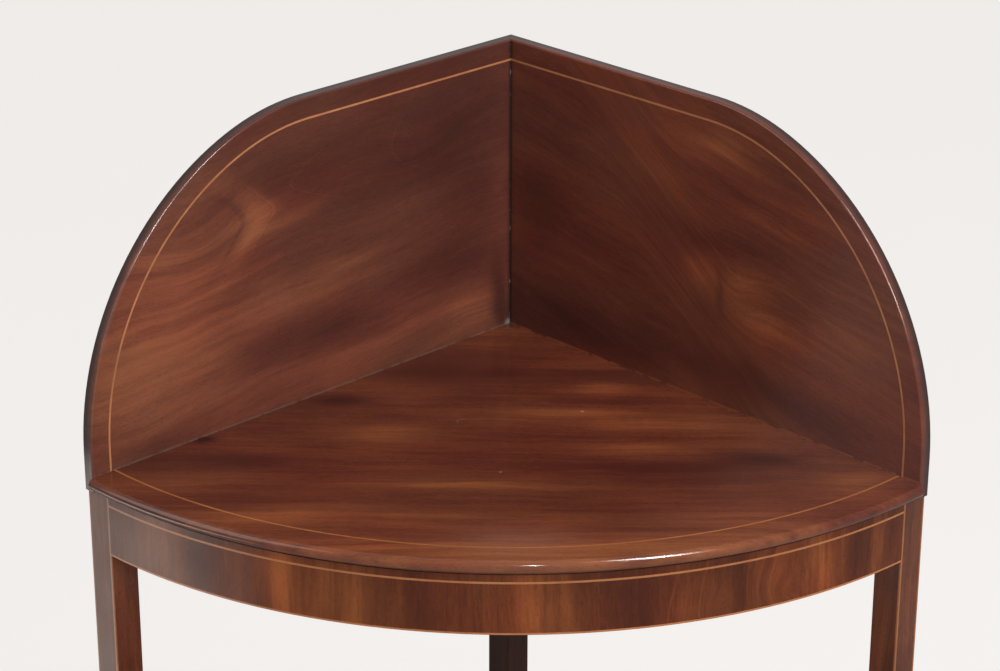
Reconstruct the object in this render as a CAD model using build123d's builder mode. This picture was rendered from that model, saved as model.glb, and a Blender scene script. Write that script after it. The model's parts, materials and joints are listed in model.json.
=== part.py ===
from build123d import *
import os
from math import asin, cos, radians, sin, sqrt

# Corner washstand of about 1800: a bow fronted mahogany stand on three legs, with shaped splashbacks,
# a middle shelf over one bowed drawer between two dummy drawers, and a shaped undertier.
# Millimetres, +Z up. The front faces -Y and the room corner is behind the origin, at +Y.
# The origin is on the floor, halfway between the room corner and the front of the drawer's knob.

os.makedirs("parts", exist_ok=True)

# Overall sizes
top_height = 840.0
bow_radius = 410.0
bow_centre_inset = 13.2
leg_side = 23.0

# Splashbacks
splash_rise = 237.5
splash_proud = 2.5
splash_thickness = 9.5
splash_upright = 17.75
shoulder_radius = 190.0
shoulder_turn = 21.6
splash_arris_radius = 1.5

# Top board, with a half round nosing over a small quirk
top_thickness = 12.0
top_nosing = 9.5
top_overhang = 6.6
top_quirk = 0.8

# Boxwood stringing
string_width = 1.6
string_depth = 1.2
splash_string_inset = 16.2
top_string_inset = 17.2
frieze_string_drop = 6.2
panel_string_inset = 7.0
leg_string_foot_gap = 4.0

# Frieze and rails
frieze_height = 46.0
veneer_thickness = 1.0
glue_line = 0.3
bow_thickness = 18.0
rail_thickness = 16.0
tenon_thickness = 6.0
tenon_shoulder = 5.0
tenon_parting = 2.0

# Middle shelf and the drawer case under it
shelf_height = 495.0
shelf_thickness = 10.0
shelf_nosing = 8.0
shelf_overhang = 4.0
shelf_quirk = 0.6
case_height = 72.0
case_rail_height = 10.0
case_rail_width = 30.0
case_tenon_shoulder = 2.0
guide_thickness = 12.0
runner_height = 8.0
runner_ledge = 12.0
stop_width = 20.0
stop_height = 4.0
stop_spacing = 120.0

# Drawer
opening_width = 226.0
drawer_gap = 0.8
slide_gap = 0.3
drawer_length = 205.0
drawer_side_thickness = 7.0
drawer_lap = 5.0
tail_count = 2
tail_root_share = 0.42
tail_tip_share = 0.64
bottom_thickness = 4.0
bottom_rise = 6.0
bottom_groove = 3.0

# Brass knobs
rose_radius = 8.0
rose_thickness = 1.6
stem_radius = 3.2
stem_length = 6.0
head_radius = 8.5
head_thickness = 6.5
shank_radius = 2.4
shank_clearance = 0.2
dummy_shank_length = 12.0
nut_radius = 5.5
nut_thickness = 3.0

# Undertier
undertier_height = 178.0
undertier_thickness = 12.0
undertier_housing = 3.0
undertier_tongue_shoulder = 3.0
undertier_wall_gap = 4.0
undertier_setback = 3.0
undertier_front_hollow = 70.0
undertier_side_hollow = 34.0

# Outswept feet of the front legs, which leave the upright a little below the undertier
splay_drop = 8.0
foot_splay = 30.0

# Blocks and screws that hold the boards down, and the dowels under the splashbacks
block_length = 40.0
block_width = 18.0
block_height = 24.0
block_shares = (0.22, 0.74)
screw_radius = 2.0
screw_head_radius = 4.0
screw_bite = 7.0
screw_point = 3.0
dowel_radius = 2.5
dowel_length = 24.0
dowel_shares = (0.12, 0.5, 0.86)

# One length past every piece, for cuts that run right through
overrun = 60.0

# Places worked out from those sizes
diagonal = sqrt(2)
knob_length = rose_thickness + stem_length + head_thickness
depth = bow_centre_inset * diagonal + bow_radius + max(top_overhang, knob_length)
corner_y = depth / 2
bow_y = corner_y - bow_centre_inset * diagonal
carcase_top = top_height - top_thickness
frieze_bottom = carcase_top - frieze_height
shelf_under = shelf_height - shelf_thickness
case_bottom = shelf_under - case_height
opening_bottom = case_bottom + case_rail_height
opening_half = opening_width / 2
skin_radius = bow_radius - veneer_thickness
core_radius = skin_radius - glue_line
inner_radius = bow_radius - bow_thickness
half_string = string_width / 2
leg_front = bow_centre_inset + sqrt(bow_radius**2 - (leg_side - bow_centre_inset) ** 2)
leg_back = leg_front - leg_side
rail_length = leg_back - leg_side
tenon_length = leg_side - (rail_thickness + tenon_thickness) / 2 - tenon_parting
splash_length = leg_front + splash_proud
shoulder_drop = shoulder_radius * (1 - cos(radians(shoulder_turn)))
side_radius = (splash_rise - splash_upright - shoulder_drop) / cos(radians(shoulder_turn))
splay_start = undertier_height - undertier_thickness - splay_drop
reach = leg_front + foot_splay + overrun
room_corner = Vector(0, corner_y, 0)


# Planes that follow the room corner
def plan(level):
    """Level plane from the room corner, with x off the right wall and y off the left wall."""
    return Plane(origin=room_corner + Vector(0, 0, level), x_dir=(-1, -1, 0), z_dir=(0, 0, 1))


def elevation(distance):
    """Upright plane parallel to the right wall, with x along the wall from the corner and y up."""
    facing = Vector(-1, -1, 0).normalized()
    return Plane(origin=room_corner + facing * distance, x_dir=(1, -1, 0), z_dir=facing)


def off_wall(side, distance):
    """Upright plane that faces the room, parallel to the right (1) or left (-1) wall."""
    facing = Vector(-side, -1, 0).normalized()
    return Plane(origin=room_corner + facing * distance, z_dir=facing)


# Cutting planes for the bowed pieces, all facing the piece that is kept
def between_legs(inset=0):
    """The inner faces of the two front legs, or planes set in from them."""
    return [off_wall(side, leg_side + inset) for side in (1, -1)]


def across_drawer(inset=0):
    """The two sides of the drawer's front, set in from it."""
    half = opening_half - drawer_gap - inset
    ends = [Plane(origin=(side * half, 0, 0), z_dir=(-side, 0, 0)) for side in (1, -1)]
    return ends + [Plane(origin=(0, bow_y, 0), z_dir=(0, -1, 0))]


def across_dummy(inset=0):
    """The two ends of the right dummy drawer, at the leg and at the drawer's opening."""
    return [off_wall(1, leg_side + inset), Plane(origin=(opening_half + inset, 0, 0), z_dir=(1, 0, 0))]


# Solids that several pieces share
def bow_panel(inner, outer, bottom, top, cuts):
    """Curved slab between two radii about the bow's centre, kept in front of each cutting plane."""
    with BuildPart() as panel:
        with BuildSketch(Plane.XY.offset(bottom)):
            with Locations((0, bow_y)):
                Circle(outer)
                Circle(inner, mode=Mode.SUBTRACT)
        extrude(amount=top - bottom)
        for cut in cuts:
            split(bisect_by=cut, keep=Keep.TOP)
    return panel.part


def string_frame(bottom, top, cuts):
    """Rectangle of stringing let into the veneer of a bowed panel, set in from its edges."""
    edge = panel_string_inset
    line = bow_panel(skin_radius, bow_radius, bottom + edge, top - edge, cuts(edge))
    edge = panel_string_inset + string_width
    field = bow_panel(skin_radius, bow_radius, bottom + edge, top - edge, cuts(edge))
    with BuildPart() as frame:
        add(line)
        add(field, mode=Mode.SUBTRACT)
    return frame


def moulded_board(level, thickness, nosing, overhang, quirk, wall_gap):
    """Quarter round board with a half round nosing over a quirk, its straight edges off the walls."""
    flat = bow_radius + overhang - nosing / 2
    waist = bow_radius - quirk
    with BuildPart() as board:
        with BuildSketch(Plane(origin=(0, bow_y, level), x_dir=(1, 0, 0), z_dir=(0, -1, 0))):
            with BuildLine():
                Polyline((flat, -nosing), (waist, -nosing), (waist, -thickness), (0, -thickness))
                Polyline((0, -thickness), (0, 0), (flat, 0))
                ThreePointArc((flat, 0), (flat + nosing / 2, -nosing / 2), (flat, -nosing))
            make_face()
        revolve(axis=Axis((0, bow_y, 0), (0, 0, 1)))
        for side in (1, -1):
            split(bisect_by=off_wall(side, wall_gap), keep=Keep.TOP)
    return board.part


def side_rail(bottom, top):
    """Straight rail along the right wall, tenoned into the rear leg and the right front leg."""
    with BuildPart() as rail:
        with BuildSketch(plan(bottom)):
            with Locations((0, leg_side)):
                Rectangle(rail_thickness, rail_length, align=(Align.MIN, Align.MIN))
        extrude(amount=top - bottom)
        with BuildSketch(plan(bottom + tenon_shoulder)):
            with Locations((rail_thickness / 2, leg_side + rail_length / 2)):
                Rectangle(tenon_thickness, rail_length + 2 * tenon_length)
        extrude(amount=top - bottom - 2 * tenon_shoulder)
    return rail


def bow_tenon(side, bottom, top):
    """Tenon on one end of a bowed piece, let into the inner face of a front leg."""
    place = (leg_side - tenon_length / 2, leg_front - (bow_thickness + veneer_thickness) / 2)
    size = (tenon_length, tenon_thickness)
    with BuildPart() as tenon:
        with BuildSketch(plan(bottom)):
            with Locations(place if side == 1 else place[::-1]):
                Rectangle(*(size if side == 1 else size[::-1]))
        extrude(amount=top - bottom)
    return tenon.part


def fixing_places():
    """Centres of the fixing blocks in plan, two along each side rail."""
    off = rail_thickness + block_width / 2
    along = [leg_side + rail_length * share for share in block_shares]
    return [(off, place) for place in along] + [(place, off) for place in along]


def fixing_screws(level):
    """Countersunk screws that go up through the fixing blocks into the board above."""
    foot = level - block_height
    length = block_height + screw_bite
    with BuildPart() as screws:
        for x, y in fixing_places():
            with BuildSketch(plan(foot)):
                with Locations((x, y)):
                    Circle(screw_radius)
            extrude(amount=length - screw_point)
            point = plan(foot + length - screw_point).offset(screw_point / 2)
            with Locations(Plane(point.from_local_coords((x, y, 0)))):
                Cone(screw_radius, screw_radius / 4, screw_point)
            head = plan(foot).offset((screw_head_radius - screw_radius) / 2)
            with Locations(Plane(head.from_local_coords((x, y, 0)))):
                Cone(screw_head_radius, screw_radius, screw_head_radius - screw_radius)
    return screws


def fixing_blocks(level, screws):
    """Glue blocks in the angle between the side rails and the board above, bored for the screws."""
    with BuildPart() as blocks:
        with BuildSketch(plan(level)):
            for x, y in fixing_places():
                along_right = y > x
                with Locations((x, y)):
                    Rectangle(
                        block_width if along_right else block_length,
                        block_length if along_right else block_width,
                    )
        extrude(amount=-block_height)
        add(screws.part, mode=Mode.SUBTRACT)
    return blocks


def knob(plane, shank_length):
    """Turned brass knob on a plane that touches the bow, with its rose, stem, head and shank."""
    head_foot = rose_thickness + stem_length
    top = head_foot + head_thickness
    widest = head_foot + head_thickness / 3
    with BuildPart() as turned:
        with BuildSketch(Plane(origin=plane.origin, x_dir=plane.x_dir, z_dir=-plane.y_dir)):
            with BuildLine():
                Polyline((0, top), (0, -shank_length), (shank_radius, -shank_length))
                Polyline((shank_radius, -shank_length), (shank_radius, 0), (rose_radius, 0))
                ThreePointArc(
                    (rose_radius, 0),
                    (rose_radius - rose_thickness / 4, rose_thickness / 2),
                    (rose_radius - rose_thickness, rose_thickness),
                )
                Line((rose_radius - rose_thickness, rose_thickness), (stem_radius, rose_thickness))
                Line((stem_radius, rose_thickness), (stem_radius, head_foot))
                Line((stem_radius, head_foot), (head_radius, widest))
                Bezier((head_radius, widest), (head_radius, top), (head_radius / 2, top), (0, top))
            make_face()
        revolve(axis=Axis(plane.origin, plane.z_dir))
    return turned


def mirrored(piece):
    """The left hand twin of a right hand piece."""
    with BuildPart() as twin:
        mirror(piece.part, about=Plane.YZ)
    return twin


# Splashbacks: level along the top, then two arcs down to an upright end
def splash_outline(inset, foot):
    """Closed outline of the right splashback down to foot, its top and end set in by inset."""
    top = top_height + splash_rise - inset
    end = splash_length - inset
    shoulder = shoulder_radius - inset
    side = side_radius - inset
    turn = radians(shoulder_turn)
    shoulder_start = end - side + (side - shoulder) * sin(turn)
    meeting = (shoulder_start + shoulder * sin(turn), top - shoulder * (1 - cos(turn)))
    upright = (end, meeting[1] - side * cos(turn))
    Polyline(upright, (end, foot), (0, foot), (0, top), (shoulder_start, top))
    RadiusArc((shoulder_start, top), meeting, shoulder)
    RadiusArc(meeting, upright, side)


with BuildPart() as splash_string_right:
    with BuildSketch(elevation(splash_thickness - string_depth)):
        with BuildLine():
            splash_outline(splash_string_inset - half_string, top_height)
        make_face()
        with BuildLine():
            splash_outline(splash_string_inset + half_string, top_height)
        make_face(mode=Mode.SUBTRACT)
    extrude(amount=string_depth)
    split(bisect_by=Plane.YZ, keep=Keep.TOP)

with BuildPart() as splash_dowels:
    for share in dowel_shares:
        place = (splash_thickness / 2, leg_side + rail_length * share)
        with BuildSketch(plan(carcase_top - dowel_length / 2)):
            with Locations(place, place[::-1]):
                Circle(dowel_radius)
        extrude(amount=dowel_length)

with BuildPart() as splashback_right:
    with BuildSketch(elevation(0)):
        with BuildLine():
            splash_outline(0, carcase_top)
        make_face()
    extrude(amount=splash_thickness)
    front = faces().sort_by(Axis(room_corner, (-1, -1, 0)))[-1]
    arris = [
        edge
        for edge in front.edges()
        if edge.center().Z > carcase_top + splash_arris_radius
        and elevation(0).to_local_coords(edge.center()).X > splash_thickness
    ]
    fillet(arris, radius=splash_arris_radius)
    split(bisect_by=Plane.YZ, keep=Keep.TOP)
    add(splash_string_right.part, mode=Mode.SUBTRACT)
    add(splash_dowels.part, mode=Mode.SUBTRACT)

# Top board and its line of stringing
string_radius = bow_radius - top_string_inset
top_string_shape = bow_panel(
    string_radius - half_string,
    string_radius + half_string,
    top_height - string_depth,
    top_height,
    [off_wall(side, splash_thickness) for side in (1, -1)],
)
with BuildPart() as top_string:
    add(top_string_shape)

top_screws = fixing_screws(carcase_top)
top_blocks = fixing_blocks(carcase_top, top_screws)
top_shape = moulded_board(
    top_height, top_thickness, top_nosing, top_overhang, top_quirk, splash_thickness
)
with BuildPart() as top_board:
    add(top_shape)
    add(top_string.part, mode=Mode.SUBTRACT)
    add(top_screws.part, mode=Mode.SUBTRACT)

# Upper carcase: the bowed frieze, its veneer and stringing, and two side rails
frieze_shape = bow_panel(inner_radius, core_radius, frieze_bottom, carcase_top, between_legs())
frieze_tenons = [
    bow_tenon(side, frieze_bottom + tenon_shoulder, carcase_top - tenon_shoulder) for side in (1, -1)
]
with BuildPart() as frieze_core:
    add(frieze_shape)
    add(frieze_tenons)

line_top = carcase_top - frieze_string_drop + half_string
line_bottom = line_top - string_width
frieze_levels = {
    "frieze_top_band": (line_top, carcase_top),
    "frieze_string": (line_bottom, line_top),
    "frieze_veneer": (frieze_bottom + string_width, line_bottom),
    "frieze_lower_string": (frieze_bottom, frieze_bottom + string_width),
}
frieze_skin = {}
for name, levels in frieze_levels.items():
    strip = bow_panel(skin_radius, bow_radius, *levels, between_legs())
    with BuildPart() as frieze_skin[name]:
        add(strip)

rail_shape = side_rail(frieze_bottom, carcase_top)
with BuildPart() as upper_rail_right:
    add(rail_shape.part)
    add(splash_dowels.part, mode=Mode.SUBTRACT)

# Drawer case under the middle shelf
case_rail_shape = side_rail(case_bottom, shelf_under)
with BuildPart() as case_rail_right:
    add(case_rail_shape.part)

bottom_rail_shape = bow_panel(
    bow_radius - case_rail_width, bow_radius, case_bottom, opening_bottom, between_legs()
)
bottom_rail_tenons = [
    bow_tenon(side, case_bottom + case_tenon_shoulder, opening_bottom - case_tenon_shoulder)
    for side in (1, -1)
]
with BuildPart() as case_bottom_rail:
    add(bottom_rail_shape)
    add(bottom_rail_tenons)

# Dummy drawers between the legs and the drawer
dummy_shape = bow_panel(inner_radius, core_radius, opening_bottom, shelf_under, across_dummy())
dummy_tenon = bow_tenon(1, opening_bottom + tenon_shoulder, shelf_under - tenon_shoulder)
dummy_string_right = string_frame(opening_bottom, shelf_under, across_dummy)
dummy_skin = bow_panel(skin_radius, bow_radius, opening_bottom, shelf_under, across_dummy())
dummy_angle = (asin(opening_half / bow_radius) + asin(leg_back / diagonal / bow_radius)) / 2
knob_level = (opening_bottom + shelf_under) / 2
dummy_facing = Vector(sin(dummy_angle), -cos(dummy_angle), 0)
dummy_plane = Plane(
    origin=Vector(0, bow_y, knob_level) + dummy_facing * bow_radius,
    x_dir=(0, 0, 1),
    z_dir=dummy_facing,
)
right_knob = knob(dummy_plane, dummy_shank_length)
with BuildPart() as dummy_knobs:
    add(right_knob.part)
    mirror(right_knob.part, about=Plane.YZ)

with BuildPart() as dummy_front_right:
    add(dummy_shape)
    add(dummy_tenon)
    add(dummy_knobs.part, mode=Mode.SUBTRACT)

with BuildPart() as dummy_veneer_right:
    add(dummy_skin)
    add(dummy_string_right.part, mode=Mode.SUBTRACT)
    add(dummy_knobs.part, mode=Mode.SUBTRACT)

# Guides beside the drawer, with the runners and stops under it
with BuildPart() as drawer_guide_right:
    with BuildSketch(Plane.XY.offset(opening_bottom)):
        with Locations((opening_half, corner_y)):
            Rectangle(guide_thickness, depth, align=(Align.MIN, Align.MAX))
        with Locations((0, bow_y)):
            Circle(inner_radius - glue_line, mode=Mode.INTERSECT)
    extrude(amount=shelf_under - opening_bottom)
    split(bisect_by=off_wall(1, rail_thickness), keep=Keep.TOP)

with BuildPart() as drawer_runner_right:
    with BuildSketch(Plane.XY.offset(opening_bottom)):
        with Locations((opening_half - runner_ledge, corner_y)):
            Rectangle(runner_ledge + guide_thickness, depth, align=(Align.MIN, Align.MAX))
        with Locations((0, bow_y)):
            Circle(bow_radius - case_rail_width - glue_line, mode=Mode.INTERSECT)
    extrude(amount=-runner_height)
    split(bisect_by=off_wall(1, rail_thickness), keep=Keep.TOP)

with BuildPart() as drawer_stops:
    with BuildSketch(Plane.XY.offset(opening_bottom)):
        with Locations((-stop_spacing / 2, bow_y), (stop_spacing / 2, bow_y)):
            Rectangle(stop_width, bow_radius, align=(Align.CENTER, Align.MAX))
        with Locations((0, bow_y)):
            Circle(inner_radius - slide_gap, mode=Mode.INTERSECT)
            Circle(bow_radius - case_rail_width, mode=Mode.SUBTRACT)
    extrude(amount=stop_height)

# Drawer: a bowed front with lapped dovetails, two sides, a back and a grooved bottom
drawer_half = opening_half - drawer_gap
front_bottom = opening_bottom + drawer_gap
front_top = shelf_under - drawer_gap
side_bottom = opening_bottom + slide_gap
panel_bottom = side_bottom + bottom_rise
panel_top = panel_bottom + bottom_thickness
side_inner = drawer_half - drawer_side_thickness
side_tip = bow_y - sqrt(core_radius**2 - drawer_half**2) + drawer_lap
side_root = bow_y - sqrt(inner_radius**2 - drawer_half**2)
side_shoulder = bow_y - sqrt(inner_radius**2 - side_inner**2)
drawer_rear = side_tip + drawer_length
back_front = drawer_rear - drawer_side_thickness
beside_drawer = Plane(origin=(drawer_half, 0, 0), x_dir=(0, 1, 0), z_dir=(1, 0, 0))


def tails(root, tip, low, high):
    """Dovetails in a row between two levels, narrow at the root and wide at the tip."""
    pitch = (high - low) / tail_count
    for number in range(tail_count):
        middle = low + pitch * (number + 1 / 2)
        narrow, wide = pitch * tail_root_share / 2, pitch * tail_tip_share / 2
        Polygon(
            (root, middle - narrow),
            (tip, middle - wide),
            (tip, middle + wide),
            (root, middle + narrow),
            align=None,
        )


front_shape = bow_panel(inner_radius, core_radius, front_bottom, front_top, across_drawer())
front_skin = bow_panel(skin_radius, bow_radius, front_bottom, front_top, across_drawer())
drawer_string = string_frame(front_bottom, front_top, across_drawer)
knob_plane = Plane(origin=(0, bow_y - bow_radius, knob_level), x_dir=(0, 0, 1), z_dir=(0, -1, 0))
nut_seat = bow_radius - sqrt(inner_radius**2 - nut_radius**2)
drawer_knob = knob(knob_plane, nut_seat + 2 * nut_thickness)

with BuildPart() as drawer_knob_nut:
    with BuildSketch(knob_plane.offset(-nut_seat)):
        RegularPolygon(nut_radius, 6)
        Circle(shank_radius, mode=Mode.SUBTRACT)
    extrude(amount=-nut_thickness)

with BuildPart() as drawer_bottom:
    with BuildSketch(Plane.XY.offset(panel_bottom)):
        with Locations((0, drawer_rear)):
            Rectangle(
                2 * (side_inner + bottom_groove), drawer_length + depth, align=(Align.CENTER, Align.MAX)
            )
        with Locations((0, bow_y)):
            Circle(inner_radius + bottom_groove, mode=Mode.INTERSECT)
    extrude(amount=bottom_thickness)

with BuildPart() as drawer_side_right:
    with BuildSketch(beside_drawer):
        with BuildLine():
            Polyline(
                (side_shoulder, side_bottom),
                (drawer_rear, side_bottom),
                (drawer_rear, panel_top),
                (back_front, panel_top),
                (back_front, front_top),
                (side_shoulder, front_top),
                close=True,
            )
        make_face()
    extrude(amount=-drawer_side_thickness)
    add(front_shape, mode=Mode.SUBTRACT)
    with BuildSketch(beside_drawer):
        tails(side_root, side_tip, side_bottom, front_top)
        tails(back_front, drawer_rear, panel_top, front_top)
    extrude(amount=-drawer_side_thickness)
    add(drawer_bottom.part, mode=Mode.SUBTRACT)

with BuildPart() as drawer_side_left:
    mirror(drawer_side_right.part, about=Plane.YZ)

with BuildPart() as drawer_front:
    add(front_shape)
    with BuildSketch(knob_plane):
        Circle(shank_radius + shank_clearance)
    extrude(amount=-bow_thickness - overrun, mode=Mode.SUBTRACT)
    add(drawer_side_right.part, mode=Mode.SUBTRACT)
    add(drawer_side_left.part, mode=Mode.SUBTRACT)
    add(drawer_bottom.part, mode=Mode.SUBTRACT)

with BuildPart() as drawer_veneer:
    add(front_skin)
    add(drawer_string.part, mode=Mode.SUBTRACT)
    with BuildSketch(knob_plane):
        Circle(shank_radius + shank_clearance)
    extrude(amount=-bow_thickness, mode=Mode.SUBTRACT)

with BuildPart() as drawer_back:
    with BuildSketch(Plane.XY.offset(panel_top)):
        with Locations((0, drawer_rear)):
            Rectangle(2 * drawer_half, drawer_side_thickness, align=(Align.CENTER, Align.MAX))
    extrude(amount=front_top - panel_top)
    add(drawer_side_right.part, mode=Mode.SUBTRACT)
    add(drawer_side_left.part, mode=Mode.SUBTRACT)

# Middle shelf, notched round the three legs
shelf_screws = fixing_screws(shelf_under)
shelf_blocks = fixing_blocks(shelf_under, shelf_screws)
shelf_shape = moulded_board(
    shelf_height, shelf_thickness, shelf_nosing, shelf_overhang, shelf_quirk, 0
)
with BuildPart() as middle_shelf:
    add(shelf_shape)
    with BuildSketch(plan(shelf_under)):
        Rectangle(leg_side, leg_side, align=(Align.MIN, Align.MIN))
        with Locations((0, leg_back)):
            Rectangle(leg_side, reach, align=(Align.MIN, Align.MIN))
        with Locations((leg_back, 0)):
            Rectangle(reach, leg_side, align=(Align.MIN, Align.MIN))
    extrude(amount=shelf_thickness, mode=Mode.SUBTRACT)
    add(shelf_screws.part, mode=Mode.SUBTRACT)

# Undertier: hollowed on all three sides, with a tongue at each corner that is let into the leg
near, wall = leg_side - undertier_housing, undertier_wall_gap
far, nose = leg_back + undertier_housing, leg_front - undertier_setback
hollow_middle = (near + nose) / 2 - undertier_front_hollow / diagonal
side_middle, side_hollow = (near + far) / 2, undertier_wall_gap + undertier_side_hollow
with BuildPart() as undertier:
    with BuildSketch(plan(undertier_height)):
        with BuildLine():
            Polyline((wall, near), (near, near), (near, wall))
            ThreePointArc((near, wall), (side_middle, side_hollow), (far, wall))
            Polyline((far, wall), (far, near), (nose, near))
            ThreePointArc((nose, near), (hollow_middle, hollow_middle), (near, nose))
            Polyline((near, nose), (near, far), (wall, far))
            ThreePointArc((wall, far), (side_hollow, side_middle), (wall, near))
        make_face()
    extrude(amount=-undertier_thickness)
    for level in (undertier_height, undertier_height - undertier_thickness + undertier_tongue_shoulder):
        with BuildSketch(plan(level)):
            for x, y in ((0, 0), (0, leg_back), (leg_back, 0)):
                with Locations((x, y)):
                    Rectangle(leg_side, leg_side, align=(Align.MIN, Align.MIN))
        extrude(amount=-undertier_tongue_shoulder, mode=Mode.SUBTRACT)

# Legs: square and straight, the front pair swept out to the feet and strung down both arrises
splay_radius = (splay_start**2 + foot_splay**2) / (2 * foot_splay)


def heel(inset):
    """Where a line set in from the leg's front face meets the floor."""
    return leg_front + splay_radius - sqrt((splay_radius + inset) ** 2 - splay_start**2)


def leg_outline(inset):
    """Closed outline of a front leg from its front face back to a line set in from it."""
    Polyline(
        (leg_front, splay_start),
        (leg_front, carcase_top),
        (leg_front - inset, carcase_top),
        (leg_front - inset, splay_start),
    )
    TangentArc((leg_front - inset, splay_start), (heel(inset), 0), tangent=(0, -1))
    Line((heel(inset), 0), (heel(0), 0))
    TangentArc((leg_front, splay_start), (heel(0), 0), tangent=(0, -1))


with BuildPart() as leg_strings_right:
    for start in (0, leg_side - string_width):
        with BuildSketch(elevation(start)):
            with BuildLine():
                leg_outline(string_depth)
            make_face()
        extrude(amount=string_width)
    split(bisect_by=Plane.XY.offset(leg_string_foot_gap), keep=Keep.TOP)

with BuildPart() as front_leg_right:
    with BuildSketch(elevation(0)):
        with BuildLine():
            leg_outline(leg_side)
        make_face()
    extrude(amount=leg_side)
    for let_in in (
        upper_rail_right,
        case_rail_right,
        frieze_core,
        case_bottom_rail,
        dummy_front_right,
        undertier,
        leg_strings_right,
    ):
        add(let_in.part, mode=Mode.SUBTRACT)

upper_rail_left = mirrored(upper_rail_right)
case_rail_left = mirrored(case_rail_right)
with BuildPart() as rear_leg:
    with BuildSketch(plan(0)):
        Rectangle(leg_side, leg_side, align=(Align.MIN, Align.MIN))
    extrude(amount=carcase_top)
    for let_in in (upper_rail_right, upper_rail_left, case_rail_right, case_rail_left, undertier):
        add(let_in.part, mode=Mode.SUBTRACT)

pieces = {
    "top_board": top_board,
    "top_string": top_string,
    "top_fixing_blocks": top_blocks,
    "top_fixing_screws": top_screws,
    "splashback_right": splashback_right,
    "splashback_left": mirrored(splashback_right),
    "splash_string_right": splash_string_right,
    "splash_string_left": mirrored(splash_string_right),
    "splash_dowels": splash_dowels,
    "frieze_core": frieze_core,
    **frieze_skin,
    "upper_rail_right": upper_rail_right,
    "upper_rail_left": upper_rail_left,
    "front_leg_right": front_leg_right,
    "front_leg_left": mirrored(front_leg_right),
    "rear_leg": rear_leg,
    "leg_strings_right": leg_strings_right,
    "leg_strings_left": mirrored(leg_strings_right),
    "middle_shelf": middle_shelf,
    "shelf_fixing_blocks": shelf_blocks,
    "shelf_fixing_screws": shelf_screws,
    "case_rail_right": case_rail_right,
    "case_rail_left": case_rail_left,
    "case_bottom_rail": case_bottom_rail,
    "dummy_front_right": dummy_front_right,
    "dummy_front_left": mirrored(dummy_front_right),
    "dummy_veneer_right": dummy_veneer_right,
    "dummy_veneer_left": mirrored(dummy_veneer_right),
    "dummy_string_right": dummy_string_right,
    "dummy_string_left": mirrored(dummy_string_right),
    "dummy_knobs": dummy_knobs,
    "drawer_guide_right": drawer_guide_right,
    "drawer_guide_left": mirrored(drawer_guide_right),
    "drawer_runner_right": drawer_runner_right,
    "drawer_runner_left": mirrored(drawer_runner_right),
    "drawer_stops": drawer_stops,
    "drawer_front": drawer_front,
    "drawer_veneer": drawer_veneer,
    "drawer_string": drawer_string,
    "drawer_side_right": drawer_side_right,
    "drawer_side_left": drawer_side_left,
    "drawer_back": drawer_back,
    "drawer_bottom": drawer_bottom,
    "drawer_knob": drawer_knob,
    "drawer_knob_nut": drawer_knob_nut,
    "undertier": undertier,
}
for name, piece in pieces.items():
    piece.part.label = name
    export_step(piece.part, f"parts/{name}.step")
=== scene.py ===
import json
from math import atan2, cos, pi, radians, sin, sqrt

import bmesh
import bpy
from mathutils import Matrix, Vector
from mathutils.bvhtree import BVHTree

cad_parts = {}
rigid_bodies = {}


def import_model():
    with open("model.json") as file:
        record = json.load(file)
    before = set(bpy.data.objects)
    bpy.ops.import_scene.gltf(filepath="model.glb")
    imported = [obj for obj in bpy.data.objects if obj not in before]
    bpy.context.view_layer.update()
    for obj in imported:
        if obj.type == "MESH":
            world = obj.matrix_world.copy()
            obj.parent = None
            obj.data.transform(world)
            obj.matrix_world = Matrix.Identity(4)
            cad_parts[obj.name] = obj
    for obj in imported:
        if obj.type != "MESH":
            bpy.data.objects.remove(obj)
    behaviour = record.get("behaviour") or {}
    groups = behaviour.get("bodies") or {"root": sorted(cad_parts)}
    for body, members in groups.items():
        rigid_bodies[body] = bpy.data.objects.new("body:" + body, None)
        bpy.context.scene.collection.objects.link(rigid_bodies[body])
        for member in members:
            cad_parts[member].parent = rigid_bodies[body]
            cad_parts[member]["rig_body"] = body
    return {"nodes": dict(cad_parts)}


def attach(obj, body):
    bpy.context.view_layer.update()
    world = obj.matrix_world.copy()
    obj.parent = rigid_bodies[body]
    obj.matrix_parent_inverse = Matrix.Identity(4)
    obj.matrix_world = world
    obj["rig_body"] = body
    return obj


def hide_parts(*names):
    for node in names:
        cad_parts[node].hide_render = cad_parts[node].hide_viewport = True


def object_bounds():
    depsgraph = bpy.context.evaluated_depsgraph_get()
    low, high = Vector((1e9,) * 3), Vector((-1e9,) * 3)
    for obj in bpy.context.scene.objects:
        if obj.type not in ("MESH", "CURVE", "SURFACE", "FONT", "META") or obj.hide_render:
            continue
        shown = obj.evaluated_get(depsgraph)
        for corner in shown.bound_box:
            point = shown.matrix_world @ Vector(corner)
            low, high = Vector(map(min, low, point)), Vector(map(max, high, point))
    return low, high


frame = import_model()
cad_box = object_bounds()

# Corner washstand in polished mahogany with boxwood lines. Metres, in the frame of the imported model.

# The room corner and the upper face of the top, from the frame
ROOM_CORNER_Y = cad_box[1][1]
TOP_LEVEL = max(vert.co.z for vert in frame["nodes"]["top_board"].data.vertices)
# The middle of the bow, its radius, and each part of a unit step along a wall
BOW_Y, BOW_RADIUS = 0.20272, 0.410
DIAGONAL = 1 / sqrt(2)

# The photograph's camera: its place, its angles in degrees, and its lens in millimetres
CAMERA_PLACE = Vector((0.01628, -1.94281, 1.73087))
CAMERA_YAW, CAMERA_PITCH, CAMERA_ROLL = -0.6413, 22.748, 0.1545
SENSOR_WIDTH = 36.0
LENS = 104.112


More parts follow.
